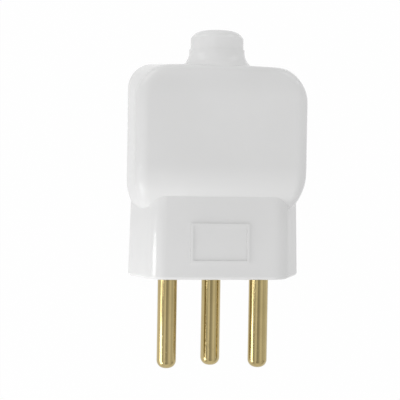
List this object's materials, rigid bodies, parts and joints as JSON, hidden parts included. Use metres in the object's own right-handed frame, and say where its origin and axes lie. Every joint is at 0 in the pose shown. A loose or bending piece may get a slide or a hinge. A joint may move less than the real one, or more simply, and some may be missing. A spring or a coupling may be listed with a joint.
{
  "type": "three-pin plug",
  "caption": "Mains plug with round brass pins, a hexagonal nose, a bulged moulded grip split into front and rear shells, and a flared neck with a cord bush.",
  "frame": {"origin": "centre of the engagement face, on the line of the two outer pins", "axes": "+X to the right as the front is seen with the pins below, +Y from the pins to the cord entry, +Z out of the front of the grip; the plug lies on its back"},
  "size_m": [0.0362, 0.069, 0.0187],
  "materials": {
    "housing_plastic": "moulded white thermoplastic, satin with a fine grain",
    "bush_plastic": "moulded white thermoplastic, smooth",
    "pin_brass": "turned brass, drawn bright along its length",
    "screw_steel": "zinc-plated steel",
    "clamp_plastic": "moulded off-white plastic"
  },
  "bodies": {
    "root": {"front_shell": "housing_plastic", "rear_shell": "housing_plastic", "cord_bush": "bush_plastic", "left_pin": "pin_brass", "earth_pin": "pin_brass", "right_pin": "pin_brass", "terminal_screws": "screw_steel", "cord_clamp": "clamp_plastic", "cord_clamp_screws": "screw_steel", "housing_screws": "screw_steel"}
  },
  "joints": []
}
